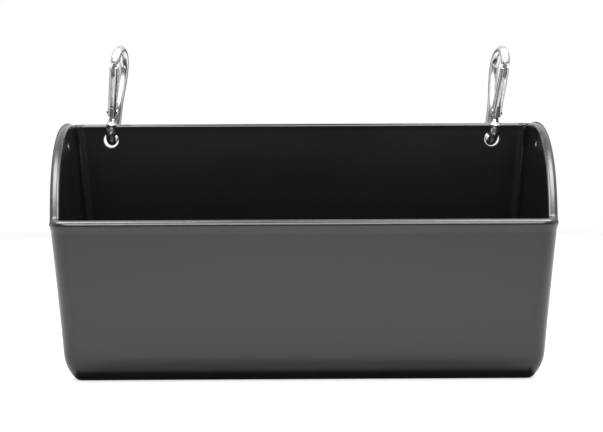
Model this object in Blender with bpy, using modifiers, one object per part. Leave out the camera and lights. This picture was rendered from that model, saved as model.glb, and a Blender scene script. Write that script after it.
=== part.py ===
"""Clip-on feeder: a one-piece moulded trough that hangs on two spring snap hooks.

Metres, +Z up. The origin is on the flat base, under the middle of the rim. +X runs along the
trough, the low front wall faces -Y and the tall back wall faces +Y. A snap hook stands in each of
the two holes in the back wall, with its gate in front of the wall and its spine behind it.
"""

import math

import bmesh
import bpy
import numpy as np
from mathutils import Matrix, Vector

# The trough
RIM_LENGTH = 0.380            # outside, at the height of the front rim
RIM_DEPTH = 0.192             # outside, from the front rim to the back rim
FRONT_HEIGHT = 0.123
BACK_HEIGHT = 0.1847
CREST_RISE = 0.0026           # top of the side rims above the back rim
WALL = 0.0075
SIDE_DRAFT = math.radians(4.85)
FRONT_DRAFT = math.radians(5.0)
BACK_DRAFT = math.radians(1.2)
CORNER_RADIUS = 0.015         # upright corners, outside
CORNER_FOOT_RADIUS = 0.005    # the same corners where they reach the base
FLOOR_RADIUS = 0.026          # between the walls and the base, outside
FOOT_ANGLE = math.radians(47.0)  # from upright, where that rounding meets the base
RIM_ROUND = 0.0030            # rounding of both edges of the rim
ARC_START = 0.0165            # front rim to where the side rims begin to rise
ARC_END = 0.152               # front rim to the top of the side rims
CREST_END = 0.180             # front rim to where the side rims are down at the back rim's height

# The holes in the trough
HOLE_DIAMETER = 0.0127        # the two that hold the hooks
HOLE_INSET = 0.03125          # in from the ends of the rim
HOLE_DROP = 0.0130            # below the back rim
SIDE_HOLE_DIAMETER = 0.0086
SIDE_HOLE_SETBACK = 0.121     # behind the front rim
SIDE_HOLE_DROP = 0.0117       # below the back rim

# The snap hooks
WIRE = 0.0076                 # diameter of the bent wire and of the gate
HOOK_LENGTH = 0.0836          # outside, from end to end
HEAD_SPAN = 0.032             # between the two legs at the wide end, on their centre lines
NECK_CLEARANCE = 0.0007       # between each leg and the wall that it straddles
SPINE_STRAIGHT = 0.024        # above the wire's lowest point, where the spine starts to spread
SPINE_EASE = 0.014            # reach of the spine's two curve handles
NOSE_ANGLE = math.radians(12.0)
RIVET_RISE = 0.0285           # rivet above the hook's lower end
FORK_END = 0.0040             # gate below the rivet
SHOULDER_GAP = 0.0020         # between the gate's end and the wire's shoulder
TONGUE_THICKNESS = 0.0024
TONGUE_WIDTH = 0.0064
TONGUE_REACH = 0.0034         # tongue above the rivet
PLATE_ROOT = 0.0030           # how far the tongue and the claw run back into the wire
GATE_CHAMFER = 0.0005
FORK_CLEAR = 0.0006           # between the fork's floor and the tongue's corner as it turns

# The claw on the nose and the pin that it holds
PIN_DIAMETER = 0.0024
PIN_DROP = 0.0042             # below the gate's upper end
CLAW_HALF_WIDTH = 0.0029
CLAW_LIP = 0.0022             # depth of the lip below the pin
CLAW_LIP_REACH = 0.0011       # how far the lip runs past the pin's middle
CLAW_CLEAR = 0.0012           # below the lip, to the floor of the gate's slot

# The rivet, and the plunger and spring inside the gate
RIVET_DIAMETER = 0.0026
RIVET_HEAD_DIAMETER = 0.0044
RIVET_HEAD_HEIGHT = 0.0008
PLUNGER_DIAMETER = 0.0030
PLUNGER_LENGTH = 0.0080
SPRING_LENGTH = 0.0110
SPRING_DIAMETER = 0.0029      # outside
SPRING_WIRE = 0.0005
SPRING_TURNS = 8

# How the hooks stand
LEAN = {"left": math.radians(5.9), "right": math.radians(6.9)}     # tops towards +X
TURN = {"left": math.radians(-10.0), "right": math.radians(10.0)}  # about each hook's own length
SEAT = {"left": (0.0009, 0, -0.0008), "right": (-0.0009, 0, -0.0019)}  # the wire from its hole's middle

GAP = 0.0003                  # kept between pieces that meet
OVERRUN = 0.004               # how far a cutter runs past what it cuts
MERGE = 0.00002
SHARP_ANGLE = math.radians(35)   # a round piece is shaded smooth below it
RIM_ANGLE = math.radians(50)     # the rim's edges are sharper than this, and are rounded
END_ANGLE = math.radians(60)     # the same for the gate's ends

# Mesh density
CORNER_STEPS = 6
FILLET_STEPS = 5
ARC_STEPS = 12
RIM_STEPS = 3
ROUND_SIDES = 24
NECK_STEPS = 10
SPINE_STEPS = 8
HEAD_STEPS = 12
SPRING_STEPS = 8
WIRE_RESOLUTION = 4
SPRING_RESOLUTION = 1

# Worked out from the sizes above
RISE = BACK_HEIGHT + CREST_RISE - FRONT_HEIGHT
ARC_LENGTH = ARC_END - ARC_START
ARC_RADIUS = (ARC_LENGTH ** 2 + RISE ** 2) / (2 * RISE)
RIM_HALF = RIM_DEPTH / 2
FLOOR_INSET = FLOOR_RADIUS * (1 - math.cos(FOOT_ANGLE))
HOLE_HEIGHT = BACK_HEIGHT - HOLE_DROP
WIRE_RADIUS = WIRE / 2
NECK_RADIUS = (WALL + WIRE) / 2 + NECK_CLEARANCE
HEAD_RADIUS = HEAD_SPAN / 2
HEAD_CENTRE = HOOK_LENGTH - WIRE - HEAD_RADIUS
RIVET_PLACE = Vector((0, -NECK_RADIUS, RIVET_RISE - WIRE_RADIUS))
SHOULDER = RIVET_PLACE.z - FORK_END - SHOULDER_GAP
NOSE = Vector((0, -HEAD_RADIUS * math.cos(NOSE_ANGLE), HEAD_CENTRE + HEAD_RADIUS * math.sin(NOSE_ANGLE)))
GATE_AXIS = (NOSE - RIVET_PLACE).normalized()
GATE_SLANT = math.atan2(-GATE_AXIS.y, GATE_AXIS.z)
NOSE_GAP = WIRE_RADIUS * (math.sin(NOSE_ANGLE) + math.sin(GATE_SLANT)) + GAP
GATE_TOP = (NOSE - RIVET_PLACE).length - NOSE_GAP
PIN_RISE = GATE_TOP - PIN_DROP
PIN_ROOM = PIN_DIAMETER / 2 + GAP
SLOT_WIDTH = TONGUE_THICKNESS + 2 * GAP
FORK_FLOOR = math.hypot(TONGUE_WIDTH / 2, TONGUE_REACH) + FORK_CLEAR
NOSE_FLOOR = PIN_RISE - PIN_ROOM - CLAW_LIP - CLAW_CLEAR
PLUNGER_TIP = TONGUE_REACH + GAP
SPRING_FOOT = PLUNGER_TIP + PLUNGER_LENGTH + GAP
BORE_END = SPRING_FOOT + SPRING_LENGTH + GAP

MATERIALS = {
    "black plastic": ((0.020, 0.021, 0.023, 1.0), 0.38, 0.0),
    "plated steel": ((0.80, 0.80, 0.81, 1.0), 0.10, 1.0),
    "spring steel": ((0.45, 0.45, 0.46, 1.0), 0.30, 1.0),
}


def clear_scene():
    """Empty the scene of the objects it opened with."""
    for item in list(bpy.data.objects):
        bpy.data.objects.remove(item, do_unlink=True)


def collection(name):
    """A new collection in the scene."""
    group = bpy.data.collections.new(name)
    bpy.context.scene.collection.children.link(group)
    return group


def material(name):
    """One Principled material with its colour, roughness and metallic value."""
    colour, roughness, metallic = MATERIALS[name]
    finish = bpy.data.materials.get(name) or bpy.data.materials.new(name)
    finish.use_nodes = True
    shader = finish.node_tree.nodes["Principled BSDF"]
    shader.inputs["Base Color"].default_value = colour
    shader.inputs["Roughness"].default_value = roughness
    shader.inputs["Metallic"].default_value = metallic
    finish.diffuse_color = colour
    return finish


def place(name, data, group, parent=None, matrix=None):
    """An object for this data, in its collection, under its parent."""
    item = bpy.data.objects.new(name, data)
    group.objects.link(item)
    item.parent = parent
    item.matrix_local = matrix or Matrix.Identity(4)
    return item


def as_cutter(item):
    """A cutter shows as a wire frame and isn't rendered."""
    item.hide_render = True
    item.display_type = "WIRE"
    return item


def mesh_from(name, build):
    """A mesh that the function build fills through bmesh."""
    mesh = bpy.data.meshes.new(name)
    work = bmesh.new()
    build(work)
    work.to_mesh(mesh)
    work.free()
    return mesh


def cylinder(name, diameter, length, sides=ROUND_SIDES):
    """A cylinder about Z, centred on the origin."""
    def build(work):
        bmesh.ops.create_cone(work, cap_ends=True, segments=sides, radius1=diameter / 2,
                              radius2=diameter / 2, depth=length)
    return mesh_from(name, build)


def block(name, size):
    """A box of this size, centred on the origin."""
    def build(work):
        bmesh.ops.create_cube(work, size=1)
        bmesh.ops.scale(work, vec=size, verts=work.verts)
    return mesh_from(name, build)


def plate(name, outline, thickness):
    """A flat outline in the YZ plane, thickened along X and made a mesh."""
    curve = bpy.data.curves.new(name, "CURVE")
    curve.dimensions = "2D"
    curve.fill_mode = "BOTH"
    curve.extrude = thickness / 2
    spline = curve.splines.new("POLY")
    spline.points.add(len(outline) - 1)
    for point, (y, z) in zip(spline.points, outline):
        point.co = (y, z, 0, 1)
    spline.use_cyclic_u = True
    upright = Matrix(((0, 0, 1, 0), (1, 0, 0, 0), (0, 1, 0, 0), (0, 0, 0, 1)))
    return curve_mesh(name, curve, upright)


def rod(name, points, diameter, resolution):
    """A round wire through these points, with capped ends, made a mesh."""
    curve = bpy.data.curves.new(name, "CURVE")
    curve.dimensions = "3D"
    curve.bevel_depth = diameter / 2
    curve.bevel_resolution = resolution
    curve.use_fill_caps = True
    spline = curve.splines.new("POLY")
    spline.points.add(len(points) - 1)
    for point, co in zip(spline.points, points):
        point.co = (*co, 1)
    return curve_mesh(name, curve, Matrix.Identity(4))


def curve_mesh(name, curve, matrix):
    """The evaluated curve as a closed mesh; the curve itself is removed."""
    guide = bpy.data.objects.new(name, curve)
    bpy.context.scene.collection.objects.link(guide)
    guide.matrix_world = matrix
    bpy.context.view_layer.update()
    shape = guide.evaluated_get(bpy.context.evaluated_depsgraph_get())
    mesh = bpy.data.meshes.new_from_object(shape)
    mesh.transform(guide.matrix_world)
    mesh.name = name
    bpy.data.objects.remove(guide, do_unlink=True)
    work = bmesh.new()
    work.from_mesh(mesh)
    bmesh.ops.remove_doubles(work, verts=work.verts, dist=MERGE)
    bmesh.ops.recalc_face_normals(work, faces=work.faces)
    work.to_mesh(mesh)
    work.free()
    return mesh


def boolean(item, other, operation):
    """Cut or join another object into this one."""
    step = item.modifiers.new(other.name, "BOOLEAN")
    step.operation = operation
    step.object = other
    step.solver = "EXACT"


def finish_round(item, name):
    """Its material, and smooth shading up to its sharp edges."""
    item.data.materials.append(material(name))
    item.data.shade_smooth()
    item.data.set_sharp_from_angle(angle=SHARP_ANGLE)
    return item


def rim_height(setback):
    """Height of the rim at this distance behind the front rim.

    It is level at the front, follows an arc up to a level crest, and eases down to the back rim.
    """
    short = min(max(ARC_END - setback, 0), ARC_LENGTH)
    fall = min(max((setback - ARC_END) / (CREST_END - ARC_END), 0), 1)
    drop = CREST_RISE * fall * fall * (3 - 2 * fall)
    return BACK_HEIGHT + CREST_RISE - ARC_RADIUS + math.sqrt(ARC_RADIUS ** 2 - short ** 2) - drop


def plan_point(corner, turn, height, inset):
    """A point on the outline at one height: a rounded rectangle, drawn in by the inset.

    The corner is (-1 or 1, -1 or 1), and turn is the direction of the outward normal in the plan.
    """
    half = RIM_LENGTH / 2 + (height - FRONT_HEIGHT) * math.tan(SIDE_DRAFT) - inset
    front = RIM_HALF + (height - FRONT_HEIGHT) * math.tan(FRONT_DRAFT) - inset
    back = RIM_HALF + (height - BACK_HEIGHT) * math.tan(BACK_DRAFT) - inset
    radius = CORNER_RADIUS + (CORNER_FOOT_RADIUS - CORNER_RADIUS) * inset / FLOOR_INSET
    reach = front if corner[1] < 0 else back
    x = corner[0] * (half - radius) + radius * math.cos(turn)
    y = corner[1] * (reach - radius) + radius * math.sin(turn)
    return x, y


def outline(height_at, inset):
    """One closed loop of points round the trough.

    height_at gives the height of each point from how far it is behind the front rim. The side runs
    are divided along the arc of the rim, and the other points are on the corners.
    """
    loop = []
    corners = [((1, -1), -90), ((1, 1), 0), ((-1, 1), 90), ((-1, -1), 180)]
    for corner, first in corners:
        ends = []
        for step in range(CORNER_STEPS + 1):
            turn = math.radians(first + 90 * step / CORNER_STEPS)
            level = FRONT_HEIGHT if corner[1] < 0 else BACK_HEIGHT
            setback = RIM_HALF + plan_point(corner, turn, level, 0)[1]
            height = height_at(setback)
            ends.append((*plan_point(corner, turn, height, inset), height))
        loop.extend(ends)
        if corner == (1, -1) or corner == (-1, 1):
            loop.extend(side_run(corner[0], height_at, inset))
    return loop


def side_run(side, height_at, inset):
    """The points between the front and back corners of one side, in the loop's direction."""
    points = []
    start = CORNER_RADIUS
    stop = RIM_DEPTH - CORNER_RADIUS
    for step in range(1, ARC_STEPS):
        share = step / ARC_STEPS
        setback = start + (stop - start) * share
        height = height_at(setback)
        front = plan_point((side, -1), 0 if side > 0 else math.pi, height, inset)
        back = plan_point((side, 1), 0 if side > 0 else math.pi, height, inset)
        points.append((front[0], front[1] + (back[1] - front[1]) * share, height))
    return points if side > 0 else points[::-1]


def trough_skin(work):
    """The outer skin, from the flat base up the fillet and the drafted walls to the rim.

    It is a loft, because the sections are unlike: the base is a small flat rounded rectangle, and
    the rim is a larger one that climbs along the sides.
    """
    rings = []
    for step in range(FILLET_STEPS + 1):
        swing = FOOT_ANGLE * (1 - step / FILLET_STEPS)
        level = FLOOR_RADIUS * (math.sin(FOOT_ANGLE) - math.sin(swing))
        inset = FLOOR_RADIUS * (1 - math.cos(swing))
        rings.append(outline(lambda setback, level=level: level, inset))
    rings.append(outline(rim_height, 0))
    verts = [[work.verts.new(point) for point in ring] for ring in rings]
    count = len(verts[0])
    for low, high in zip(verts, verts[1:]):
        for i in range(count):
            j = (i + 1) % count
            work.faces.new((low[i], low[j], high[j], high[i]))
    work.faces.new(verts[0][::-1])
    bmesh.ops.recalc_face_normals(work, faces=work.faces)


def build_trough(parts, cutters):
    """The moulded trough: a skin with its wall, a rounded rim and four round holes."""
    item = place("trough", mesh_from("trough", trough_skin), parts)
    wall = item.modifiers.new("wall", "SOLIDIFY")
    wall.thickness = WALL
    wall.offset = -1
    wall.use_even_offset = True
    rounding = item.modifiers.new("rim", "BEVEL")
    rounding.width = RIM_ROUND
    rounding.segments = RIM_STEPS
    rounding.limit_method = "ANGLE"
    rounding.angle_limit = RIM_ANGLE
    rounding.use_clamp_overlap = True
    for side, name in ((-1, "left"), (1, "right")):
        hole = cylinder(name + " hook hole", HOLE_DIAMETER, WALL + 2 * OVERRUN)
        cutter = as_cutter(place(name + " hook hole", hole, cutters))
        cutter.matrix_local = hole_matrix(side) @ Matrix.Rotation(math.radians(90), 4, "X")
        boolean(item, cutter, "DIFFERENCE")
        hole = cylinder(name + " side hole", SIDE_HOLE_DIAMETER, WALL + 2 * OVERRUN)
        cutter = as_cutter(place(name + " side hole", hole, cutters))
        height = BACK_HEIGHT - SIDE_HOLE_DROP
        middle = RIM_LENGTH / 2 + (height - FRONT_HEIGHT) * math.tan(SIDE_DRAFT) - WALL / 2
        cutter.matrix_local = Matrix.Translation((side * middle, SIDE_HOLE_SETBACK - RIM_HALF, height)) \
            @ Matrix.Rotation(math.radians(90) + side * SIDE_DRAFT, 4, "Y")
        boolean(item, cutter, "DIFFERENCE")
    item.data.materials.append(material("black plastic"))
    item.data.shade_smooth()


def hole_matrix(side):
    """The frame of a hook hole: in the middle of the wall, Y square to the wall, Z up along it."""
    lean_back = (HOLE_HEIGHT - BACK_HEIGHT) * math.tan(BACK_DRAFT)
    middle = RIM_HALF + lean_back - WALL / 2 / math.cos(BACK_DRAFT)
    return Matrix.Translation((side * (RIM_LENGTH / 2 - HOLE_INSET), middle, HOLE_HEIGHT)) \
        @ Matrix.Rotation(-BACK_DRAFT, 4, "X")


def hook_stance(name):
    """The hook's frame in its hole: the origin where the wire lies, Z up the hook, Y to the spine."""
    seat = Matrix.Translation(SEAT[name])
    return seat @ Matrix.Rotation(LEAN[name], 4, "Y") @ Matrix.Rotation(TURN[name], 4, "Z")


def gate_frame():
    """The gate's frame in the hook: the origin on the rivet, Z up along the gate, Y to the spine."""
    return Matrix.Translation(RIVET_PLACE) @ Matrix.Rotation(GATE_SLANT, 4, "X")


def hook_path():
    """The centre line of the bent wire, from the shoulder round the neck and the head to the nose."""
    points = [(0, -NECK_RADIUS, SHOULDER)]
    for step in range(NECK_STEPS + 1):
        swing = math.pi * (1 + step / NECK_STEPS)
        points.append((0, NECK_RADIUS * math.cos(swing), NECK_RADIUS * (1 + math.sin(swing))))
    low = Vector((0, NECK_RADIUS, SPINE_STRAIGHT))
    high = Vector((0, HEAD_RADIUS, HEAD_CENTRE))
    ease = Vector((0, 0, SPINE_EASE))
    for step in range(SPINE_STEPS):
        t = step / SPINE_STEPS
        s = 1 - t
        points.append(tuple(low * s ** 3 + (low + ease) * 3 * s * s * t
                            + (high - ease) * 3 * s * t * t + high * t ** 3))
    for step in range(HEAD_STEPS + 1):
        swing = (math.pi - NOSE_ANGLE) * step / HEAD_STEPS
        points.append((0, HEAD_RADIUS * math.cos(swing), HEAD_CENTRE + HEAD_RADIUS * math.sin(swing)))
    return points


def in_gate_frame(points):
    """Points of an outline given along and across the gate, turned into the hook's frame."""
    frame = gate_frame()
    turned = [frame @ Vector((0, across, along)) for across, along in points]
    return [(point.y, point.z) for point in turned]


def tongue_outline():
    """The flat tongue on the lower end of the wire, square to the gate at its tip."""
    half = TONGUE_WIDTH / 2
    tip = in_gate_frame([(half, TONGUE_REACH), (-half, TONGUE_REACH)])
    root = SHOULDER - PLATE_ROOT
    return [(-NECK_RADIUS - half, root), (-NECK_RADIUS + half, root)] + tip


def claw_outline():
    """The flat claw on the nose, with its notch for the gate's pin open towards the spine."""
    half = CLAW_HALF_WIDTH
    low = PIN_RISE - PIN_ROOM
    high = PIN_RISE + PIN_ROOM
    swing = math.pi - NOSE_ANGLE - PLATE_ROOT / HEAD_RADIUS
    root = [(reach * math.cos(swing), HEAD_CENTRE + reach * math.sin(swing))
            for reach in (HEAD_RADIUS - half, HEAD_RADIUS + half)]
    return root + in_gate_frame([
        (-half, low - CLAW_LIP), (CLAW_LIP_REACH, low - CLAW_LIP), (CLAW_LIP_REACH, low),
        (-PIN_ROOM, low), (-PIN_ROOM, high), (half, high),
    ])


def along_gate(distance):
    """The gate's frame, moved this far up the gate."""
    return gate_frame() @ Matrix.Translation((0, 0, distance))


def across_gate(distance):
    """The frame of a pin or a hole that crosses the gate this far up it."""
    return along_gate(distance) @ Matrix.Rotation(math.radians(90), 4, "Y")


def build_hook(side, parts, cutters, put):
    """The bent wire with its tongue and claw, and the hole for the rivet."""
    hook = put(side + "_hook", rod(side + "_hook", hook_path(), WIRE, WIRE_RESOLUTION), parts)
    for name, shape in (("tongue", tongue_outline()), ("claw", claw_outline())):
        name = side + " " + name
        boolean(hook, as_cutter(put(name, plate(name, shape, TONGUE_THICKNESS), cutters)), "UNION")
    name = side + " rivet hole"
    hole = cylinder(name, RIVET_DIAMETER + 2 * GAP, WIRE + 2 * OVERRUN)
    boolean(hook, as_cutter(put(name, hole, cutters, across_gate(0))), "DIFFERENCE")
    finish_round(hook, "plated steel")


def build_gate(side, parts, cutters, put):
    """The gate: a rod with a fork over the tongue, a slot over the claw, and a bore for its spring."""
    shape = cylinder(side + "_gate", WIRE, GATE_TOP + FORK_END)
    shape.transform(Matrix.Translation((0, 0, (GATE_TOP - FORK_END) / 2)))
    gate = put(side + "_gate", shape, parts, along_gate(0))
    edge = gate.modifiers.new("ends", "BEVEL")
    edge.width = GATE_CHAMFER
    edge.segments = 1
    edge.limit_method = "ANGLE"
    edge.angle_limit = END_ANGLE
    spans = (("fork", -FORK_END - OVERRUN, FORK_FLOOR), ("nose slot", NOSE_FLOOR, GATE_TOP + OVERRUN))
    for name, low, high in spans:
        name = side + " " + name
        cut = block(name, (SLOT_WIDTH, WIRE + 2 * OVERRUN, high - low))
        boolean(gate, as_cutter(put(name, cut, cutters, along_gate((low + high) / 2))), "DIFFERENCE")
    name = side + " bore"
    cut = cylinder(name, PLUNGER_DIAMETER + 2 * GAP, BORE_END)
    boolean(gate, as_cutter(put(name, cut, cutters, along_gate(BORE_END / 2))), "DIFFERENCE")
    holes = (("gate rivet hole", 0, RIVET_DIAMETER), ("gate pin hole", PIN_RISE, PIN_DIAMETER))
    for name, distance, diameter in holes:
        name = side + " " + name
        hole = cylinder(name, diameter + 2 * GAP, WIRE + 2 * OVERRUN)
        boolean(gate, as_cutter(put(name, hole, cutters, across_gate(distance))), "DIFFERENCE")
    finish_round(gate, "plated steel")


def build_rivet(side, parts, put):
    """The rivet, turned about its own length: a shank between two low domed heads."""
    seat = WIRE_RADIUS + GAP
    head = RIVET_HEAD_DIAMETER / 2
    shank = RIVET_DIAMETER / 2
    dome = []
    for step in range(RIM_STEPS + 1):
        swing = math.radians(90 * step / RIM_STEPS)
        dome.append((head * math.sin(swing), seat + RIVET_HEAD_HEIGHT * math.cos(swing)))
    profile = dome + [(shank, seat), (shank, -seat)] + [(x, -z) for x, z in dome[::-1]]
    mesh = bpy.data.meshes.new(side + "_rivet")
    mesh.from_pydata([(x, 0, z) for x, z in profile], [(i, i + 1) for i in range(len(profile) - 1)], [])
    rivet = put(side + "_rivet", mesh, parts, across_gate(0))
    turned = rivet.modifiers.new("turned", "SCREW")
    turned.axis = "Z"
    turned.steps = ROUND_SIDES
    turned.render_steps = ROUND_SIDES
    turned.use_merge_vertices = True
    turned.merge_threshold = MERGE
    rivet.data.materials.append(material("plated steel"))


def build_gate_inside(side, parts, put):
    """The gate's latch pin, and the plunger and coil spring in its bore."""
    pin = cylinder(side + "_gate_pin", PIN_DIAMETER, WIRE - 2 * GATE_CHAMFER)
    finish_round(put(side + "_gate_pin", pin, parts, across_gate(PIN_RISE)), "plated steel")
    plunger = cylinder(side + "_plunger", PLUNGER_DIAMETER, PLUNGER_LENGTH)
    middle = along_gate(PLUNGER_TIP + PLUNGER_LENGTH / 2)
    finish_round(put(side + "_plunger", plunger, parts, middle), "spring steel")
    radius = (SPRING_DIAMETER - SPRING_WIRE) / 2
    climb = SPRING_LENGTH - SPRING_WIRE
    share = np.linspace(0, 1, SPRING_TURNS * SPRING_STEPS + 1)
    swing = 2 * math.pi * SPRING_TURNS * share
    points = np.stack([radius * np.cos(swing), radius * np.sin(swing), climb * share], axis=1)
    coil = rod(side + "_spring", points.tolist(), SPRING_WIRE, SPRING_RESOLUTION)
    foot = along_gate(SPRING_FOOT + SPRING_WIRE / 2)
    finish_round(put(side + "_spring", coil, parts, foot), "spring steel")


def build_snap_hook(name, side, parts, cutters):
    """One whole snap hook, on an empty in the middle of its hole, where it swings."""
    pivot = place(name + " hook pivot", None, cutters, None, hole_matrix(side))
    stance = hook_stance(name)

    def put(piece, data, group, matrix=Matrix.Identity(4)):
        return place(piece, data, group, pivot, stance @ matrix)

    build_hook(name, parts, cutters, put)
    build_gate(name, parts, cutters, put)
    build_rivet(name, parts, put)
    build_gate_inside(name, parts, put)


def main():
    clear_scene()
    parts = collection("clip-on feeder")
    cutters = collection("cutters")
    build_trough(parts, cutters)
    for name, side in (("left", -1), ("right", 1)):
        build_snap_hook(name, side, parts, cutters)
    bpy.context.view_layer.update()


main()
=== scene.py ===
"""Looks of the clip-on feeder: a moulded black trough that hangs on two plated snap hooks.

Metres, in the part's frame: +X along the trough, the low front wall faces -Y, +Z up. The trough,
the hooks, their gates, rivets and springs are fine surfaces that stand for the part's own solids.
The pins and plungers keep their solids and get their finish here.
"""

import math

import bpy
import numpy as np
from mathutils import Matrix, Vector


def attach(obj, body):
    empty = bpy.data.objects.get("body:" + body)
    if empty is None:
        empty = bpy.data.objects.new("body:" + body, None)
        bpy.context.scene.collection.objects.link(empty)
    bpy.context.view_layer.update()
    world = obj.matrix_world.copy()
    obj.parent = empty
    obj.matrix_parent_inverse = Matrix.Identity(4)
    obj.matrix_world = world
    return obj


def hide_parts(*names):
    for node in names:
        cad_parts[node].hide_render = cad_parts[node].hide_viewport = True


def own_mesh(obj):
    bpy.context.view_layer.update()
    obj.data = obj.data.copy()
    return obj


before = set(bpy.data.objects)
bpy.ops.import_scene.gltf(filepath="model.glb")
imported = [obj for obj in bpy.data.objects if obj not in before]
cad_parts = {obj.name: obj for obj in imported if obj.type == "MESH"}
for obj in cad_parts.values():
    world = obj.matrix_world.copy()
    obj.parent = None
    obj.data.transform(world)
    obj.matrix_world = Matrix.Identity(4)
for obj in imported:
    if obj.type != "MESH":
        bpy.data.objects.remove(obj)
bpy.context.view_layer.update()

# The trough
RIM_LENGTH = 0.380
RIM_DEPTH = 0.192
FRONT_HEIGHT = 0.1222          # 0.8 mm under the front rim of the solid
BACK_HEIGHT = 0.1847
CREST_RISE = 0.0026            # top of the side rims above the back rim
WALL = 0.0075
SIDE_DRAFT = math.radians(4.85)
FRONT_DRAFT = math.radians(5.0)
BACK_DRAFT = math.radians(1.2)
CORNER_RADIUS = 0.015
CORNER_FOOT_RADIUS = 0.005
INSIDE_FOOT_RADIUS = 0.005
FLOOR_RADIUS = 0.026           # between the walls and the base, outside
INSIDE_FLOOR_RADIUS = 0.016
FOOT_ANGLE = math.radians(47.0)
ARC_START = 0.0165             # front rim to where the side rims begin to rise
ARC_END = 0.152                # front rim to the top of the side rims
CREST_END = 0.180
TURN_UP = 0.0014               # softness of the corner where the side rims begin to rise
BEAD = 0.0008                  # how far the rim stands out from the wall
BEAD_FACE = 0.0042             # below the rim's top, where its outer rounding ends
BEAD_FOOT = 0.0100             # below the rim's top, where the bead has met the wall
RIM_OUTER = 0.0050             # breadth of the outer rounding
RIM_INNER = 0.0022             # breadth and depth of the inner rounding
RIM_ZONE = 0.0125              # depth of the band that follows the rim's slope
RIM_FADE = 0.008               # below the rim's top, where its smoother finish has ended
BASE_EDGE = 0.0008             # softness of the edge round the flat base
SLOPE_STEP = 0.0001            # half the step over which the rim's slope is taken

# The holes in the trough
HOLE_DIAMETER = 0.0127
HOLE_INSET = 0.03125           # in from the ends of the rim
HOLE_DROP = 0.0130
SIDE_HOLE_DIAMETER = 0.0086
SIDE_HOLE_SETBACK = 0.121
SIDE_HOLE_DROP = 0.0117
HOLE_EDGE = 0.0005             # rounding of the holes' edges
SIDE_HOLE_EDGE = 0.0013

# The snap hooks
WIRE = 0.0076
HOOK_LENGTH = 0.0836
HEAD_SPAN = 0.032
NECK_CLEARANCE = 0.0007
SPINE_STRAIGHT = 0.024
SPINE_EASE = 0.014
NOSE_ANGLE = math.radians(12.0)
RIVET_RISE = 0.0285
FORK_END = 0.0040
SHOULDER_GAP = 0.0020
TONGUE_THICKNESS = 0.0024
TONGUE_WIDTH = 0.0064
TONGUE_REACH = 0.0034
PLATE_ROOT = 0.0030            # how far the tongue and the claw reach into the wire
PLATE_EDGE = 0.00025
WIRE_EDGE = 0.0006             # rounding of the gate's cut ends
WIRE_DOME = (0.0006, 0.0008)   # how far the wire's lower end is drawn in, and over what length
NOSE_DOME = (0.0017, 0.0050)
KNUCKLE_LENGTH = 0.0052        # the tapered end of the wire just below the gate, and its swollen foot
KNUCKLE_TAPER = 0.0014
KNUCKLE_SWELL = 0.0005
KNUCKLE_BLEND = 0.0016         # breadth of the swell
FORK_CLEAR = 0.0006
PIN_DIAMETER = 0.0024
PIN_DROP = 0.0042
CLAW_HALF_WIDTH = 0.0029
CLAW_LIP = 0.0022
CLAW_LIP_REACH = 0.0011
CLAW_CLEAR = 0.0012
RIVET_DIAMETER = 0.0026
RIVET_HEAD_DIAMETER = 0.0044
RIVET_HEAD_HEIGHT = 0.0008
PLUNGER_DIAMETER = 0.0030
PLUNGER_LENGTH = 0.0080
SPRING_LENGTH = 0.0110
SPRING_DIAMETER = 0.0029
SPRING_WIRE = 0.0005
SPRING_TURNS = 8
LEAN = {"left": math.radians(5.9), "right": math.radians(6.9)}
TURN = {"left": math.radians(-10.0), "right": math.radians(10.0)}
SEAT = {"left": (0.0009, 0, -0.0008), "right": (-0.0009, 0, -0.0019)}
GAP = 0.0003
OVERRUN = 0.004                # how far a cutter reaches past what it cuts

# Worked out from the sizes above
RISE = BACK_HEIGHT + CREST_RISE - FRONT_HEIGHT
ARC_LENGTH = ARC_END - ARC_START
ARC_RADIUS = (ARC_LENGTH ** 2 + RISE ** 2) / (2 * RISE)
FLOOR_INSET = FLOOR_RADIUS * (1 - math.cos(FOOT_ANGLE))
WIRE_RADIUS = WIRE / 2
NECK_RADIUS = (WALL + WIRE) / 2 + NECK_CLEARANCE
HEAD_RADIUS = HEAD_SPAN / 2
HEAD_CENTRE = HOOK_LENGTH - WIRE - HEAD_RADIUS
RIVET_PLACE = Vector((0, -NECK_RADIUS, RIVET_RISE - WIRE_RADIUS))
SHOULDER = RIVET_PLACE.z - FORK_END - SHOULDER_GAP
NOSE = Vector((0, -HEAD_RADIUS * math.cos(NOSE_ANGLE), HEAD_CENTRE + HEAD_RADIUS * math.sin(NOSE_ANGLE)))
GATE_AXIS = (NOSE - RIVET_PLACE).normalized()
GATE_SLANT = math.atan2(-GATE_AXIS.y, GATE_AXIS.z)
NOSE_GAP = WIRE_RADIUS * (math.sin(NOSE_ANGLE) + math.sin(GATE_SLANT)) + GAP
GATE_TOP = (NOSE - RIVET_PLACE).length - NOSE_GAP
PIN_RISE = GATE_TOP - PIN_DROP
PIN_ROOM = PIN_DIAMETER / 2 + GAP
SLOT_WIDTH = TONGUE_THICKNESS + 2 * GAP
FORK_FLOOR = math.hypot(TONGUE_WIDTH / 2, TONGUE_REACH) + FORK_CLEAR
NOSE_FLOOR = PIN_RISE - PIN_ROOM - CLAW_LIP - CLAW_CLEAR
SPRING_FOOT = TONGUE_REACH + PLUNGER_LENGTH + 2 * GAP
BORE_END = SPRING_FOOT + SPRING_LENGTH + GAP


# Meshes

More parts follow.
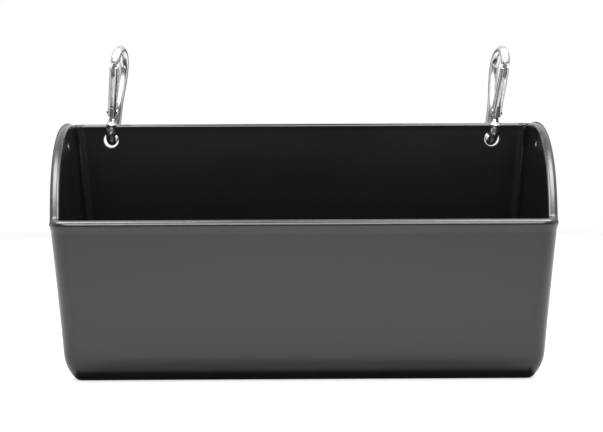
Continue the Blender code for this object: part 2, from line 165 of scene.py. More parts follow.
def mesh_of(name, points, faces):
    """A mesh of these points and faces, turned right side out by its signed volume."""
    mesh = bpy.data.meshes.new(name)
    mesh.from_pydata(points.tolist(), [], faces)
    mesh.validate()
    mesh.calc_loop_triangles()
    count = len(mesh.loop_triangles)
    corners = np.empty(count * 3, dtype=np.int32)
    mesh.loop_triangles.foreach_get("vertices", corners)
    a, b, c = points[corners].reshape(count, 3, 3).transpose(1, 0, 2)
    if np.einsum("ij,ij->i", a, np.cross(b, c)).sum() < 0:
        mesh.flip_normals()
    mesh.shade_smooth()
    return mesh


def closed_rings(name, rings):
    """A closed skin over a stack of rings, each an array of the same number of points.

    Point (i, j) joins (i + 1, j) and (i, j + 1), where j runs round the ring and comes back to its
    start, and the first and last rings are closed to their middles.
    """
    stack = np.stack(rings)
    rows, count = stack.shape[:2]
    middles = np.stack([stack[0].mean(axis=0), stack[-1].mean(axis=0)])
    points = np.concatenate([stack.reshape(-1, 3), middles])
    i, j = np.meshgrid(np.arange(rows - 1), np.arange(count), indexing="ij")
    k = (j + 1) % count
    quads = np.stack([i * count + j, i * count + k, (i + 1) * count + k, (i + 1) * count + j], axis=-1)
    j = np.arange(count)
    k = (j + 1) % count
    first = np.stack([k, j, np.full(count, rows * count)], axis=-1)
    last = np.stack([j, k, np.full(count, rows * count + 1)], axis=-1)
    last[:, :2] += (rows - 1) * count
    return mesh_of(name, points, quads.reshape(-1, 4).tolist() + first.tolist() + last.tolist())


def piece(name, mesh):
    """An object for a mesh, in the scene, at the origin."""
    item = bpy.data.objects.new(name, mesh)
    bpy.context.scene.collection.objects.link(item)
    return item


def settle(item):
    """The modifiers of a piece are worked into its mesh."""
    bpy.context.view_layer.update()
    shape = item.evaluated_get(bpy.context.evaluated_depsgraph_get())
    mesh = bpy.data.meshes.new_from_object(shape)
    item.modifiers.clear()
    item.data = mesh
    return item


def combine(item, operation, shapes):
    """Cut these meshes out of a piece, or join them to it."""
    others = [piece("cutter", mesh) for mesh in shapes]
    for other in others:
        step = item.modifiers.new("shape", "BOOLEAN")
        step.operation = operation
        step.solver = "EXACT"
        step.object = other
    settle(item)
    for other in others:
        bpy.data.objects.remove(other, do_unlink=True)
    return item


def smooth(item, angle):
    """Smooth shading up to edges sharper than this angle, led by the larger faces."""
    item.data.shade_smooth()
    item.data.set_sharp_from_angle(angle=angle)
    lead = item.modifiers.new("shading", "WEIGHTED_NORMAL")
    lead.keep_sharp = True
    return item


def moved(mesh, matrix):
    """The mesh, put in its place."""
    mesh.transform(matrix)
    return mesh


def turned(name, profile, sides=64):
    """A turned solid about Z: each (radius, height) of the profile carries a circle."""
    radius, height = np.array(profile, dtype=float).T
    swing = np.linspace(0, 2 * math.pi, sides, endpoint=False)
    rings = np.stack([radius[:, None] * np.cos(swing), radius[:, None] * np.sin(swing),
                      np.broadcast_to(height[:, None], (len(radius), sides))], axis=-1)
    return closed_rings(name, list(rings))


def round_bar(name, diameter, low, high, edge, sides=64):
    """A turned bar from low to high, whose end edges are quarter circles.

    With a from 0 to 90 degrees, r = R - e + e sin a, and z = end + e (1 - cos a), or its mirror image.
    """
    swing = np.radians(np.linspace(0, 90, 6))
    inner = diameter / 2 - edge
    rise = np.stack([inner + edge * np.sin(swing), low + edge * (1 - np.cos(swing))], axis=1)
    fall = np.stack([inner + edge * np.cos(swing), high - edge * (1 - np.sin(swing))], axis=1)
    return turned(name, np.concatenate([rise, fall]), sides)


def slab(name, outline, thickness):
    """A flat plate: an outline of (y, z) points, carried along X by the thickness."""
    shape = np.array(outline, dtype=float)
    rings = [np.column_stack([np.full(len(shape), x), shape]) for x in (-thickness / 2, thickness / 2)]
    item = piece(name, mesh_of(name, np.concatenate(rings), plate_faces(len(shape))))
    edge = item.modifiers.new("edge", "BEVEL")
    edge.width = PLATE_EDGE
    edge.segments = 2
    edge.limit_method = "ANGLE"
    mesh = settle(item).data
    bpy.data.objects.remove(item, do_unlink=True)
    return mesh


def plate_faces(count):
    """The faces of a plate between two like outlines."""
    sides = [[i, (i + 1) % count, count + (i + 1) % count, count + i] for i in range(count)]
    return sides + [list(range(count))[::-1], list(range(count, 2 * count))]


def wire(name, path, radius, sides=48):
    """A round wire along a path in the YZ plane: each point carries a circle square to the path.

    The circle is r cos a along X and r sin a along the path's own normal, with a radius for each point.
    """
    step = np.gradient(path, axis=0)
    along = step / np.linalg.norm(step, axis=1, keepdims=True)
    across = np.stack([np.zeros(len(path)), -along[:, 2], along[:, 1]], axis=1)
    turn = np.linspace(0, 2 * math.pi, sides, endpoint=False)
    side = np.array([1.0, 0, 0])
    rings = path[:, None] + radius[:, None, None] * (
        np.cos(turn)[None, :, None] * side + np.sin(turn)[None, :, None] * across[:, None])
    return closed_rings(name, list(rings))


# The trough's surface

def rim_height(setback):
    """Height of the rim at this distance behind the front rim.

    The larger of the level front and a circular arc, eased where they meet: (a + b + sqrt((a - b)^2
    + e^2)) / 2. Behind the arc's top the crest falls to the back rim by a smooth step.
    """
    short = np.clip(ARC_END - setback, 0, ARC_RADIUS * 0.99)
    fall = np.clip((setback - ARC_END) / (CREST_END - ARC_END), 0, 1)
    arc = BACK_HEIGHT + CREST_RISE - ARC_RADIUS + np.sqrt(ARC_RADIUS ** 2 - short ** 2)
    arc = arc - CREST_RISE * fall * fall * (3 - 2 * fall)
    return (FRONT_HEIGHT + arc + np.sqrt((arc - FRONT_HEIGHT) ** 2 + TURN_UP ** 2)) / 2


def plan_loop():
    """The loop round the trough: where each point's corner centre lies, and its outward normal.

    Each is (cx, cy, turn): cx and cy run from -1 to 1 between the centres of the upright corners,
    and turn is the normal's direction. Corners sweep 90 degrees, and runs keep one normal.
    """
    sweep = np.radians(np.linspace(0, 90, 13))
    near = np.linspace(0, 0.1, 16)[1:]
    rest = np.linspace(0.1, 1, 64)[1:-1]
    climb = np.concatenate([near, rest]) * 2 - 1
    run = np.linspace(-1, 1, 110)[1:-1]
    parts = []
    for cx, cy, first in ((1, -1, -90), (1, 1, 0), (-1, 1, 90), (-1, -1, 180)):
        parts.append((np.full(13, cx), np.full(13, cy), math.radians(first) + sweep))
        if first == -90:
            parts.append((np.full(len(climb), 1), climb, np.zeros(len(climb))))
        if first == 0:
            parts.append((-run, np.full(len(run), 1), np.full(len(run), math.pi / 2)))
        if first == 90:
            parts.append((np.full(len(climb), -1), climb[::-1], np.full(len(climb), math.pi)))
        if first == 180:
            parts.append((run, np.full(len(run), -1), np.full(len(run), -math.pi / 2)))
    return [np.concatenate(column).astype(float) for column in zip(*parts)]


CX, CY, NORMAL = plan_loop()
ALONG = RIM_DEPTH / 2 + CY * (RIM_DEPTH / 2 - CORNER_RADIUS) + CORNER_RADIUS * np.sin(NORMAL)
RIM = rim_height(ALONG)
CLIMB = (rim_height(ALONG + SLOPE_STEP) - rim_height(ALONG - SLOPE_STEP)) / (2 * SLOPE_STEP)
SLOPE = np.arctan(CLIMB) * np.abs(np.cos(NORMAL))


def ring(height, inset, radius, shift=0):
    """One ring of the trough: a rounded rectangle that widens with height by the draft of each wall.

    x = cx (half - r) + r cos n and y = between the corner centres + r sin n, moved back by shift.
    """
    half = RIM_LENGTH / 2 + (height - FRONT_HEIGHT) * math.tan(SIDE_DRAFT) - inset
    front = RIM_DEPTH / 2 + (height - FRONT_HEIGHT) * math.tan(FRONT_DRAFT) - inset
    back = RIM_DEPTH / 2 + (height - BACK_HEIGHT) * math.tan(BACK_DRAFT) - inset
    share = (CY + 1) / 2
    x = CX * (half - radius) + radius * np.cos(NORMAL)
    y = (radius - front) * (1 - share) + (back - radius) * share + radius * np.sin(NORMAL) + shift
    return np.stack([x, y, np.broadcast_to(height, x.shape)], axis=1)


def rim_ring(inset, down):
    """A ring of the rim: in from the outside by inset, and down square to the rim's slope."""
    return ring(RIM - down * np.cos(SLOPE), inset, CORNER_RADIUS - inset, down * np.sin(SLOPE))


def wall_bead(height):
    """How far the outer wall lies inside the rim's face at a height."""
    return BEAD * np.minimum(height / FRONT_HEIGHT, 1)


def ease(value):
    """The smooth step 3 t^2 - 2 t^3."""
    return value * value * (3 - 2 * value)


def shrunk(last, shares):
    """Flat rings that draw a ring in to its middle."""
    middle = last.mean(axis=0)
    return [middle + (last - middle) * share for share in shares]


def trough_rings():
    """The trough's section, carried round the plan: floor, inside wall, rim, outside wall, foot, base.

    The roundings are ellipses. The bead eases out of the wall, and the band under the rim follows
    the rim's slope, below which the walls run straight to the floor's rounding.
    """
    floor_swing = np.radians(np.linspace(90, 0, 10))
    inside = []
    for swing in floor_swing:
        share = 1 - math.cos(swing)
        radius = CORNER_RADIUS - WALL + (INSIDE_FOOT_RADIUS - CORNER_RADIUS + WALL) * share
        level = WALL + INSIDE_FLOOR_RADIUS * (1 - math.sin(swing))
        inside.append(ring(level, WALL + INSIDE_FLOOR_RADIUS * share, radius))
    floor = shrunk(inside[0], (0.05, 0.25, 0.5, 0.75, 0.9))
    top = RIM - RIM_ZONE * np.cos(SLOPE)
    low = WALL + INSIDE_FLOOR_RADIUS
    for share in np.linspace(0, 1, 26)[1:]:
        height = low + (top - low) * share
        inside.append(ring(height, WALL, CORNER_RADIUS - WALL, RIM_ZONE * np.sin(SLOPE) * share))
    rim = [rim_ring(WALL, down) for down in np.linspace(RIM_ZONE, RIM_INNER, 6)[1:-1]]
    for swing in np.radians(np.linspace(0, 90, 10)):
        rim.append(rim_ring(WALL - RIM_INNER * (1 - math.cos(swing)), RIM_INNER * (1 - math.sin(swing))))
    for swing in np.radians(np.linspace(90, 0, 14)):
        rim.append(rim_ring(RIM_OUTER * (1 - math.cos(swing)), BEAD_FACE * (1 - math.sin(swing))))
    for share in np.linspace(0, 1, 9)[1:]:
        down = BEAD_FACE + (BEAD_FOOT - BEAD_FACE) * share
        rim.append(rim_ring(wall_bead(RIM - down) * ease(share), down))
    outside = []
    low = FLOOR_RADIUS * math.sin(FOOT_ANGLE)
    for share in np.linspace(1, 0, 36):
        height = low + (top - low) * share
        bead = wall_bead(height)
        outside.append(ring(height, bead, CORNER_RADIUS - bead, RIM_ZONE * np.sin(SLOPE) * share))
    for swing in np.radians(np.linspace(0, math.degrees(FOOT_ANGLE), 10))[1:]:
        inset = FLOOR_RADIUS * (1 - math.cos(swing))
        level = FLOOR_RADIUS * (math.sin(FOOT_ANGLE) - math.sin(swing))
        radius = CORNER_RADIUS + (CORNER_FOOT_RADIUS - CORNER_RADIUS) * inset / FLOOR_INSET
        outside.append(ring(max(level, BASE_EDGE / 2), inset + wall_bead(level), radius))
    base = [ring(BASE_EDGE / 8, FLOOR_INSET + BASE_EDGE / 3, CORNER_FOOT_RADIUS),
            ring(0, FLOOR_INSET + BASE_EDGE, CORNER_FOOT_RADIUS)]
    return floor + inside + rim + outside + base + shrunk(base[-1], (0.9, 0.75, 0.5, 0.25, 0.05))


def hole_matrix(side):
    """The frame of a hook hole: in the middle of the wall, Y square to the wall, Z up along it."""
    height = BACK_HEIGHT - HOLE_DROP
    middle = RIM_DEPTH / 2 - HOLE_DROP * math.tan(BACK_DRAFT) - WALL / 2 / math.cos(BACK_DRAFT)
    place = Matrix.Translation((side * (RIM_LENGTH / 2 - HOLE_INSET), middle, height))
    return place @ Matrix.Rotation(-BACK_DRAFT, 4, "X")


def side_hole_matrix(side):
    """The frame of a side hole, with Z square to the wall."""
    height = BACK_HEIGHT - SIDE_HOLE_DROP
    middle = RIM_LENGTH / 2 + (height - FRONT_HEIGHT) * math.tan(SIDE_DRAFT) - WALL / 2
    place = Matrix.Translation((side * middle, SIDE_HOLE_SETBACK - RIM_DEPTH / 2, height))
    return place @ Matrix.Rotation(math.radians(90) + side * SIDE_DRAFT, 4, "Y")


def hole_cutter(diameter, edge, outside, inside):
    """A turned cutter along Z whose ends flare by the edge's radius, so that they round the hole's edges.

    outside and inside are the two faces of the wall, along Z.
    """
    swing = np.radians(np.linspace(0, 90, 7))
    flare = edge * (1 - np.cos(swing))
    lift = edge * np.sin(swing)
    radius = diameter / 2
    up = np.stack([radius + flare, outside - edge + lift], axis=1)
    down = np.stack([radius + flare, inside + edge - lift], axis=1)[::-1]
    wide = radius + edge
    profile = np.concatenate([[[wide, inside - OVERRUN]], down, up, [[wide, outside + OVERRUN]]])
    return turned("cutter", profile)


def build_trough():
    """The trough: its skin, with the four holes cut and their edges rounded."""
    item = piece("trough_shell", closed_rings("trough_shell", trough_rings()))
    cutters = []
    face = WALL / 2 - BEAD
    upright = Matrix.Rotation(math.radians(-90), 4, "X")
    for side in (-1, 1):
        hook_hole = hole_cutter(HOLE_DIAMETER, HOLE_EDGE, face, -WALL / 2)
        cutters.append(moved(hook_hole, hole_matrix(side) @ upright))
        faces = (face, -WALL / 2) if side > 0 else (WALL / 2, -face)
        side_hole = hole_cutter(SIDE_HOLE_DIAMETER, SIDE_HOLE_EDGE, *faces)
        cutters.append(moved(side_hole, side_hole_matrix(side)))
    combine(item, "DIFFERENCE", cutters)
    mark_rim(item.data)
    return smooth(item, math.radians(38))


def mark_rim(mesh):
    """Marks each point with how near it is to the rim: 1 on its top, falling to 0 where the finish ends."""
    points = np.empty(len(mesh.vertices) * 3)
    mesh.vertices.foreach_get("co", points)
    x, y, z = points.reshape(-1, 3).T
    near = np.clip(1 - (rim_height(np.clip(y + RIM_DEPTH / 2, 0, RIM_DEPTH)) - z) / RIM_FADE, 0, 1)
    mesh.attributes.new("rim", "FLOAT", "POINT").data.foreach_set("value", near)


# The snap hooks' surfaces

def hook_stance(name):
    """The hook's frame in its hole: the origin where the wire lies, Z up the hook, Y to the spine."""
    seat = Matrix.Translation(SEAT[name])
    return seat @ Matrix.Rotation(LEAN[name], 4, "Y") @ Matrix.Rotation(TURN[name], 4, "Z")


def along_gate(distance):
    """The gate's frame in the hook, moved this far up the gate from the rivet."""
    foot = Matrix.Translation(RIVET_PLACE) @ Matrix.Rotation(GATE_SLANT, 4, "X")
    return foot @ Matrix.Translation((0, 0, distance))


def across_gate(distance):
    """The frame of a pin or a hole that crosses the gate this far up it."""
    return along_gate(distance) @ Matrix.Rotation(math.radians(90), 4, "Y")


def in_gate_frame(points):
    """Points given across and along the gate, turned into the hook's frame, as (y, z)."""
    turned_points = [along_gate(0) @ Vector((0, across, along)) for across, along in points]
    return [(point.y, point.z) for point in turned_points]


def hook_path():
    """The wire's centre line: a straight, a half circle under the wall, an S-curve, and the head's arc.

    The S-curve is a cubic from the spine's straight to the head: low s^3 + (low + e) 3 s^2 t +
    (high - e) 3 s t^2 + high t^3, with s = 1 - t.
    """
    straight = SHOULDER + (NECK_RADIUS - SHOULDER) * np.linspace(0, 1, 41)[:-1] ** 1.5
    start = np.stack([np.full(40, -NECK_RADIUS), straight], axis=1)
    swing = math.pi * (1 + np.linspace(0, 1, 33))
    neck = np.stack([NECK_RADIUS * np.cos(swing), NECK_RADIUS * (1 + np.sin(swing))], axis=1)
    rise = np.linspace(NECK_RADIUS, SPINE_STRAIGHT, 9)[1:-1]
    spine = np.stack([np.full(7, NECK_RADIUS), rise], axis=1)
    t = np.linspace(0, 1, 25)[:-1, None]
    s = 1 - t
    low = np.array([NECK_RADIUS, SPINE_STRAIGHT])
    high = np.array([HEAD_RADIUS, HEAD_CENTRE])
    handle = np.array([0, SPINE_EASE])
    bend = low * s ** 3 + (low + handle) * 3 * s * s * t + (high - handle) * 3 * s * t * t + high * t ** 3
    swing = (math.pi - NOSE_ANGLE) * (1 - np.linspace(1, 0, 81) ** 1.4)
    head = np.stack([HEAD_RADIUS * np.cos(swing), HEAD_CENTRE + HEAD_RADIUS * np.sin(swing)], axis=1)
    flat = np.concatenate([start, neck, spine, bend, head])
    return np.column_stack([np.zeros(len(flat)), flat])


def tongue_outline():
    """The flat tongue on the lower end of the wire, square to the gate at its tip."""
    half = TONGUE_WIDTH / 2
    tip = in_gate_frame([(half, TONGUE_REACH), (-half, TONGUE_REACH)])
    root = SHOULDER - PLATE_ROOT
    return [(-NECK_RADIUS - half, root), (-NECK_RADIUS + half, root)] + tip


def claw_outline():
    """The flat claw on the nose, with its notch for the gate's pin open towards the spine."""
    half = CLAW_HALF_WIDTH
    low = PIN_RISE - PIN_ROOM
    high = PIN_RISE + PIN_ROOM
    swing = math.pi - NOSE_ANGLE - PLATE_ROOT / HEAD_RADIUS
    root = [(reach * math.cos(swing), HEAD_CENTRE + reach * math.sin(swing))
            for reach in (HEAD_RADIUS - half, HEAD_RADIUS + half)]
    return root + in_gate_frame([
        (-half, low - CLAW_LIP), (CLAW_LIP_REACH, low - CLAW_LIP), (CLAW_LIP_REACH, low),
        (-PIN_ROOM, low), (-PIN_ROOM, high), (half, high),
    ])


def hook_radius(path):
    """The wire's radius along its path: round, with a tapered knuckle under the gate and a domed nose.

    The knuckle's taper is straight over its length, then the wire swells by a bell curve round its
    foot. A dome takes off its inset times 1 - sqrt(1 - u^2), where u falls from 1 at the end to 0 at
    the dome's length.
    """
    walked = np.concatenate([[0], np.cumsum(np.linalg.norm(np.diff(path, axis=0), axis=1))])
    taper = KNUCKLE_TAPER * np.clip(1 - walked / KNUCKLE_LENGTH, 0, 1)
    swell = KNUCKLE_SWELL * np.exp(-((walked - KNUCKLE_LENGTH) / KNUCKLE_BLEND) ** 2)
    radius = WIRE_RADIUS - taper + swell
    for far, (inset, length) in ((walked, WIRE_DOME), (walked[-1] - walked, NOSE_DOME)):
        radius = radius - inset * (1 - np.sqrt(1 - np.clip(1 - far / length, 0, 1) ** 2))
    return radius


def build_hook(name, stand):
    """The bent wire with its tongue and claw, and the rivet's hole."""
    path = hook_path()
    item = piece(name + "_hook_wire", wire("wire", path, hook_radius(path)))
    combine(item, "UNION", [slab("tongue", tongue_outline(), TONGUE_THICKNESS),
                            slab("claw", claw_outline(), TONGUE_THICKNESS)])
    hole = turned("hole", [(RIVET_DIAMETER / 2 + GAP, z) for z in (-WIRE, WIRE)], 48)
    combine(item, "DIFFERENCE", [moved(hole, across_gate(0))])
    moved(item.data, stand)
    return smooth(item, math.radians(35))


def build_gate(name, stand):
    """The gate: a round bar with a fork, a slot for the claw, a bore and two cross holes."""
    item = piece(name + "_gate_bar", round_bar("bar", WIRE, -FORK_END, GATE_TOP, WIRE_EDGE))
    cutters = []
    for low, high in ((-FORK_END - OVERRUN, FORK_FLOOR), (NOSE_FLOOR, GATE_TOP + OVERRUN)):
        outline = [(-WIRE, low), (WIRE, low), (WIRE, high), (-WIRE, high)]
        cutters.append(slab("slot", outline, SLOT_WIDTH))
    cutters.append(turned("bore", [(PLUNGER_DIAMETER / 2 + GAP, z) for z in (0, BORE_END)], 48))
    for distance, diameter in ((0, RIVET_DIAMETER), (PIN_RISE, PIN_DIAMETER)):
        hole = turned("hole", [(diameter / 2 + GAP, z) for z in (-WIRE, WIRE)], 48)
        across = Matrix.Translation((0, 0, distance)) @ Matrix.Rotation(math.radians(90), 4, "Y")
        cutters.append(moved(hole, across))
    combine(item, "DIFFERENCE", cutters)
    moved(item.data, stand @ along_gate(0))
    return smooth(item, math.radians(35))


def build_rivet(name, stand):
    """The rivet, turned: a shank between two low domed heads, each a quarter ellipse."""
    seat = WIRE_RADIUS + GAP
    swing = np.radians(np.linspace(4, 90, 9))
    across = RIVET_HEAD_DIAMETER / 2 * np.sin(swing)
    dome = np.stack([across, seat + RIVET_HEAD_HEIGHT * np.cos(swing)], axis=1)
    shank = np.array([[RIVET_DIAMETER / 2, seat], [RIVET_DIAMETER / 2, -seat]])
    profile = np.concatenate([dome, shank, dome[::-1] * [1, -1]])
    item = piece(name + "_rivet_pin", turned("rivet", profile, 48))
    moved(item.data, stand @ across_gate(0))
    return smooth(item, math.radians(35))


def coil(name, sides=10, steps=24):
    """The return spring along Z, from the middle of its wire's foot: a circle carried round a helix.

    The helix is (r cos a, r sin a, climb a / (2 pi turns)). The circle lies in the plane of the
    radial direction and the one square to it and to the helix.
    """
    share = np.linspace(0, 1, SPRING_TURNS * steps + 1)
    swing = 2 * math.pi * SPRING_TURNS * share
    radius = (SPRING_DIAMETER - SPRING_WIRE) / 2
    climb = SPRING_LENGTH - SPRING_WIRE
    flat = np.zeros(len(share))
    out = np.stack([np.cos(swing), np.sin(swing), flat], axis=1)
    along = np.stack([-radius * np.sin(swing), radius * np.cos(swing),
                      flat + climb / (2 * math.pi * SPRING_TURNS)], axis=1)
    up = np.cross(out, along / np.linalg.norm(along, axis=1, keepdims=True))
    turn = np.linspace(0, 2 * math.pi, sides, endpoint=False)
    centres = radius * out + np.stack([flat, flat, climb * share], axis=1)
    rings = centres[:, None] + SPRING_WIRE / 2 * (
        np.cos(turn)[None, :, None] * out[:, None] + np.sin(turn)[None, :, None] * up[:, None])
    return closed_rings(name, list(rings))


def build_spring(name, stand):
    """The return spring in the gate's bore."""
    item = piece(name + "_spring_coil", coil("coil"))
    moved(item.data, stand @ along_gate(SPRING_FOOT + SPRING_WIRE / 2))
    return item


def shorten(item, stand):
    """Works out where the spring's top lies, and gives the spring a mesh of its own."""
    top = stand @ along_gate(SPRING_FOOT + SPRING_LENGTH)
    tuple(top.translation)
    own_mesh(item)


# Materials

class Term:
    """A number in a material: arithmetic on it adds Math nodes."""

    def __init__(self, finish, socket):
        self.finish = finish
        self.socket = socket

    def maths(self, operation, *others):
        """This number and others through one Math node."""
        return self.finish.maths(operation, self, *others)

    def __add__(self, other):
        return self.maths("ADD", other)

    __radd__ = __add__

    def __sub__(self, other):
        return self.maths("SUBTRACT", other)

    def __rsub__(self, other):
        return self.finish.maths("SUBTRACT", other, self)

    def __mul__(self, other):
        return self.maths("MULTIPLY", other)

    __rmul__ = __mul__

    def __truediv__(self, other):
        return self.maths("DIVIDE", other)

    def __pow__(self, other):
        return self.maths("POWER", other)

    def clipped(self):
        return self.maths("MAXIMUM", 0).maths("MINIMUM", 1)


class Finish:
    """A material or a world in the making: its nodes, and its links."""

    def __init__(self, owner):
        owner.use_nodes = True
        self.owner = owner
        self.tree = owner.node_tree

    def node(self, kind, settings=None, inputs=None):
        """A node of this type, with its settings made first and then its sockets filled or linked."""
        node = self.tree.nodes.new(kind)
        for key, value in (settings or {}).items():
            setattr(node, key, value)
        for key, value in (inputs or {}).items():
            self.feed(node.inputs[key], value)
        return node

    def feed(self, socket, value):
        """A socket gets a link, or its own value."""
        if isinstance(value, Term):
            value = value.socket
        if isinstance(value, bpy.types.NodeSocket):
            self.tree.links.new(value, socket)
        else:
            socket.default_value = value

    def maths(self, operation, *values):
        node = self.node("ShaderNodeMath", {"operation": operation}, dict(enumerate(values)))
        return Term(self, node.outputs[0])

    def term(self, node, output=0):
        return Term(self, node.outputs[output])

    def places(self, scale=(1, 1, 1)):
        """Object coordinates, stretched."""
        coordinates = self.node("ShaderNodeTexCoord").outputs["Object"]
        return self.node("ShaderNodeMapping", None, {"Vector": coordinates, "Scale": scale}).outputs[0]

    def noise(self, scale, detail=3.0, roughness=0.5, stretch=(1, 1, 1)):
        """Fractal noise on Object coordinates, from 0 to 1."""
        node = self.node("ShaderNodeTexNoise", None, {
            "Vector": self.places(stretch), "Scale": scale, "Detail": detail, "Roughness": roughness})
        return self.term(node, "Fac")

    def blend(self, factor, first, second):
        """A colour between two, each given as three numbers or as a socket."""
        node = self.node("ShaderNodeMix", {"data_type": "RGBA"})
        self.feed(node.inputs[0], factor)
        for socket, colour in ((node.inputs[6], first), (node.inputs[7], second)):
            self.feed(socket, (*colour, 1) if isinstance(colour, tuple) else colour)
        return node.outputs[2]

    def bump(self, height, distance, strength=1.0, normal=None):
        inputs = {"Height": height, "Distance": distance, "Strength": strength}
        if normal:
            inputs["Normal"] = normal
        return self.node("ShaderNodeBump", None, inputs).outputs[0]

    def shader(self, values):
        """The Principled shader's sockets."""
        shader = self.tree.nodes["Principled BSDF"]
        for key, value in values.items():
            self.feed(shader.inputs[key], value)


def moulded_plastic():
    """Satin black plastic: fine mould grain, faint flow marks, a smoother rim, and matt hook holes."""
    finish = Finish(bpy.data.materials.new("moulded black plastic"))
    rim = finish.term(finish.node("ShaderNodeAttribute", {"attribute_name": "rim"}), "Fac")
    across = finish.node("ShaderNodeSeparateXYZ", None, {0: finish.places()})
    height = finish.term(across, 2)
    aside = finish.term(across, 0).maths("ABSOLUTE") - (RIM_LENGTH / 2 - HOLE_INSET)
    above = height - (BACK_HEIGHT - HOLE_DROP)
    off_axis = (aside ** 2 + above ** 2) ** 0.5
    bore = 1 - ((off_axis - HOLE_DIAMETER / 2 - HOLE_EDGE * 0.6) / 0.0003).clipped()
    cloud = finish.noise(9.0, 4.0)
    flow = finish.noise(26.0, 5.0, 0.6, (0.35, 1.0, 1.0))
    grain = finish.noise(1500.0, 2.0)
    pores = finish.noise(5200.0, 1.0)
    rub = finish.noise(140.0, 4.0, 0.65, (0.25, 1.0, 1.0))
    wear = (rim ** 3 * (rub - 0.42) * 3.0).clipped()
    shade = cloud * 0.6 + flow * 0.4
    crest = rim * ((height - 0.165) / 0.015).clipped()
    moulded = finish.blend(shade, (0.0014, 0.0015, 0.0018), (0.0026, 0.0028, 0.0033))
    colour = finish.blend(wear * 0.35, moulded, (0.016, 0.0165, 0.018))
    roughness = 0.18 + shade * 0.09 + rim * 0.08 - crest * 0.18 + wear * 0.06 + bore * 0.50
    even = 1 - rim * 0.85
    fine = finish.bump((grain * 0.7 + pores * 0.3) * even, 0.00006, 0.5)
    broad = finish.bump(flow * even, 0.0004, 0.25, fine)
    finish.shader({"Base Color": colour, "Roughness": roughness.clipped(), "Normal": broad, "IOR": 1.55})
    return finish.owner


def plating(name, dark, light):
    """Plated steel between two greys: faint drawing lines, small dulled patches, and tiny pits."""
    finish = Finish(bpy.data.materials.new(name))
    cloud = finish.noise(160.0, 4.0)
    lines = finish.noise(900.0, 3.0, 0.6, (1.0, 1.0, 0.08))
    pits = finish.noise(2600.0, 2.0)
    streaks = finish.noise(520.0, 3.0, 0.6, (1.0, 1.0, 0.05))
    tone = (cloud * 0.3 + (streaks - 0.5) * 1.6 + 0.35).clipped()
    colour = finish.blend(tone, (dark, dark, dark * 1.02), (light, light, light))
    relief = finish.bump(lines * 0.6 + pits * 0.4, 0.00001, 0.3)
    finish.shader({"Base Color": colour, "Metallic": 1.0, "Roughness": 0.15 + cloud * 0.18,
                   "Normal": relief})
    return finish.owner


def spring_steel():
    """Plain drawn steel: darker, with fine lines along the wire."""
    finish = Finish(bpy.data.materials.new("drawn spring steel"))
    lines = finish.noise(1400.0, 3.0, 0.6, (1.0, 1.0, 0.2))
    cloud = finish.noise(300.0, 3.0)
    colour = finish.blend(lines, (0.36, 0.36, 0.37), (0.55, 0.55, 0.56))
    finish.shader({"Base Color": colour, "Metallic": 1.0, "Roughness": 0.24 + cloud * 0.16,
                   "Normal": finish.bump(lines, 0.00002, 0.4)})
    return finish.owner


def seen_directly(finish):
    """1 for rays from the camera, off a gloss, or through glass."""
    path = finish.node("ShaderNodeLightPath")
    camera = finish.term(path, "Is Camera Ray")
    return (camera + finish.term(path, "Is Glossy Ray") + finish.term(path, "Is Transmission Ray")).clipped()


def pale_floor():
    """A matt pale floor with a faint mottle, lifted to the white of the backdrop away from the part.

    Painted shade: the part's own gloss sees the floor painted dark near the base, where the real floor lies
    in its shade, and a little darker out to 0.6 m.
    """
    finish = Finish(bpy.data.materials.new("pale floor"))
    mottle = finish.noise(6.0, 3.0)
    place = finish.places()
    across = finish.node("ShaderNodeSeparateXYZ", None, {0: place})
    x, y = (finish.term(across, axis).maths("ABSOLUTE") for axis in (0, 1))
    beside = (x - 0.171).maths("MAXIMUM", y - 0.081)
    # Painted shade: dark right beside the base, and fainter out to 0.6 m, for glossy rays only
    painted_base_shade = 1 - ((beside - 0.003) / 0.012).clipped()
    shade = painted_base_shade.maths("MAXIMUM", (1 - beside / 0.60).clipped() * 0.50)
    path = finish.node("ShaderNodeLightPath")
    gloss = finish.term(path, "Is Glossy Ray")
    pale = finish.blend(mottle, (0.84, 0.84, 0.84), (0.88, 0.88, 0.88))
    # The painted shade turns the floor's colour towards dark where the part's gloss sees it
    finish.shader({"Base Color": finish.blend(shade * gloss, pale, (0.04, 0.04, 0.04)), "Roughness": 0.9})
    reach = finish.term(finish.node("ShaderNodeVectorMath", {"operation": "LENGTH"}, {0: place}), "Value")
    away = ((reach - 0.3) / 0.8).clipped()
    seen = finish.term(path, "Is Camera Ray") * (0.6 + away * 0.4) + gloss * away
    glow = finish.node("ShaderNodeEmission", None, {"Color": (1, 1, 1, 1), "Strength": 1.0})
    mix = finish.node("ShaderNodeMixShader", None, {
        0: seen, 1: finish.tree.nodes["Principled BSDF"].outputs[0], 2: glow.outputs[0]})
    finish.feed(finish.tree.nodes["Material Output"].inputs["Surface"], mix.outputs[0])
    return finish.owner


def dark_screen():
    """A painted reflection: a dark sheet that stands for the dark of the room, glowing paler upwards, for
    the part to mirror.

    The camera looks through it.
    """
    finish = Finish(bpy.data.materials.new("dark screen"))
    rise = finish.term(finish.node("ShaderNodeSeparateXYZ", None, {0: finish.places()}), 2)
    # Painted reflection: the sheet glows from nothing low down to 0.7 white at its top
    painted_glow = ((rise - 0.14) / 0.46).clipped() ** 1.5 * 0.7
    finish.shader({"Base Color": (0.012, 0.012, 0.013, 1), "Roughness": 0.9, "Emission Strength": 1.0,
                   "Emission Color": finish.blend(painted_glow, (0, 0, 0), (1, 1, 1))})
    clear = finish.node("ShaderNodeBsdfTransparent")
    camera = finish.term(finish.node("ShaderNodeLightPath"), "Is Camera Ray")
    mix = finish.node("ShaderNodeMixShader", None, {
        0: camera, 1: finish.tree.nodes["Principled BSDF"].outputs[0], 2: clear.outputs[0]})
    finish.feed(finish.tree.nodes["Material Output"].inputs["Surface"], mix.outputs[0])
    return finish.owner


# The studio

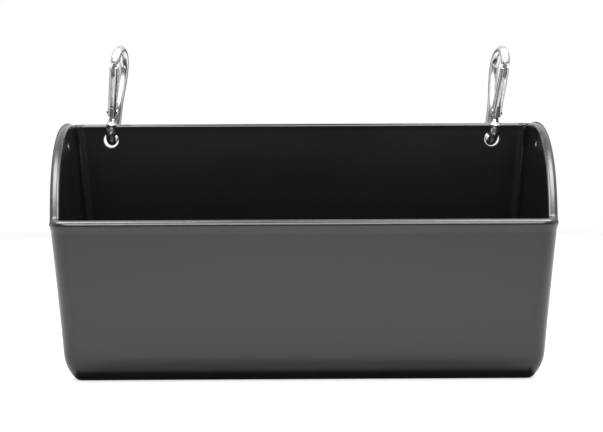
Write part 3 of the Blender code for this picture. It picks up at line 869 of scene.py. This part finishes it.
def build_camera():
    """The camera of the photograph: 110 mm on a 36 mm frame, a little above, looking down 5.5 degrees."""
    yaw, pitch, roll = math.radians(0.545), math.radians(5.48), math.radians(0.22)
    facing = np.array([math.sin(yaw) * math.cos(pitch), math.cos(yaw) * math.cos(pitch), -math.sin(pitch)])
    right = np.array([math.cos(yaw), -math.sin(yaw), 0])
    up = np.cross(right, facing)
    tilted_right = right * math.cos(roll) - up * math.sin(roll)
    tilted_up = right * math.sin(roll) + up * math.cos(roll)
    data = bpy.data.cameras.new("camera")
    data.lens = 110.3
    data.sensor_width = 36
    data.sensor_fit = "HORIZONTAL"
    camera = bpy.data.objects.new("camera", data)
    bpy.context.scene.collection.objects.link(camera)
    matrix = Matrix((tilted_right, tilted_up, -facing)).transposed().to_4x4()
    matrix.translation = (-0.015, -1.450, 0.2553)
    camera.matrix_world = matrix
    bpy.context.scene.camera = camera


def lamp(name, place, target, size, power):
    """A soft rectangular lamp at a place, turned to a target. Its size is (wide, high)."""
    data = bpy.data.lights.new(name, "AREA")
    data.shape = "RECTANGLE"
    data.size, data.size_y = size
    data.energy = power
    item = bpy.data.objects.new(name, data)
    bpy.context.scene.collection.objects.link(item)
    facing = Vector(target) - Vector(place)
    item.matrix_world = Matrix.Translation(place) @ facing.to_track_quat("-Z", "Y").to_matrix().to_4x4()
    item.visible_camera = False


def build_screen(name, start, end, height, material):
    """A dark upright screen round the part: an arc of a 1 m circle between two bearings, carried up Z."""
    count = 40
    swing = np.radians(np.linspace(start, end, count))
    foot = np.stack([np.cos(swing), np.sin(swing), np.zeros(count)], axis=1)
    points = np.concatenate([foot, foot + [0, 0, height]])
    mesh = bpy.data.meshes.new(name)
    mesh.from_pydata(points.tolist(), [], [(i, i + 1, i + count + 1, i + count) for i in range(count - 1)])
    mesh.materials.append(material)
    piece(name, mesh)


def build_world():
    """White where it is seen or mirrored, and a softer grey where it only lights."""
    world = bpy.data.worlds.new("studio")
    bpy.context.scene.world = world
    finish = Finish(world)
    seen = seen_directly(finish)
    background = finish.tree.nodes["Background"]
    background.inputs["Color"].default_value = (1, 1, 1, 1)
    finish.feed(background.inputs["Strength"], 0.30 + seen * 0.70)


def build_studio():
    """The floor, the lamps and the screens."""
    mesh = bpy.data.meshes.new("floor")
    mesh.from_pydata([(-6, -6, 0), (6, -6, 0), (6, 6, 0), (-6, 6, 0)], [], [(0, 1, 2, 3)])
    mesh.materials.append(pale_floor())
    floor = piece("floor", mesh)
    floor.location.z = -0.0005
    lamp("front lamp", (0, -1.25, 1.2), (0, 0, 0.1), (1.9, 0.75), 42)
    lamp("left lamp", (-0.60, 0.10, 1.30), (-0.2, 0, 0.1), (0.75, 0.9), 29)
    lamp("right lamp", (0.60, 0.10, 1.30), (0.2, 0, 0.1), (0.75, 0.9), 29)
    # The screens are painted reflection: dark glowing sheets, unseen by the camera, that the part mirrors
    dark = dark_screen()
    build_screen("front screen", -168, -12, 0.60, dark)
    build_screen("left back screen", 102, 142, 0.42, dark)
    build_screen("right back screen", 38, 78, 0.42, dark)


def main():
    plastic, steel = moulded_plastic(), spring_steel()
    bright, drawn = plating("bright plated wire", 0.36, 0.74), plating("plated drawn bar", 0.27, 0.68)

    def dress(item, node, body, material):
        item.data.materials.clear()
        item.data.materials.append(material)
        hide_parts(node)
        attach(item, body)

    dress(build_trough(), "trough", "trough", plastic)
    for name, side in (("left", -1), ("right", 1)):
        stand = hole_matrix(side) @ hook_stance(name)
        dress(build_hook(name, stand), name + "_hook", name + "_hook", bright)
        dress(build_rivet(name, stand), name + "_rivet", name + "_hook", bright)
        dress(build_gate(name, stand), name + "_gate", name + "_gate", drawn)
        spring = build_spring(name, stand)
        dress(spring, name + "_spring", name + "_gate", steel)
        shorten(spring, stand)
        for node, material in (("_gate_pin", bright), ("_plunger", steel)):
            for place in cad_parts[name + node].material_slots:
                place.material = material
    build_camera()
    build_world()
    build_studio()
    bpy.context.scene.view_settings.view_transform = "Standard"


main()
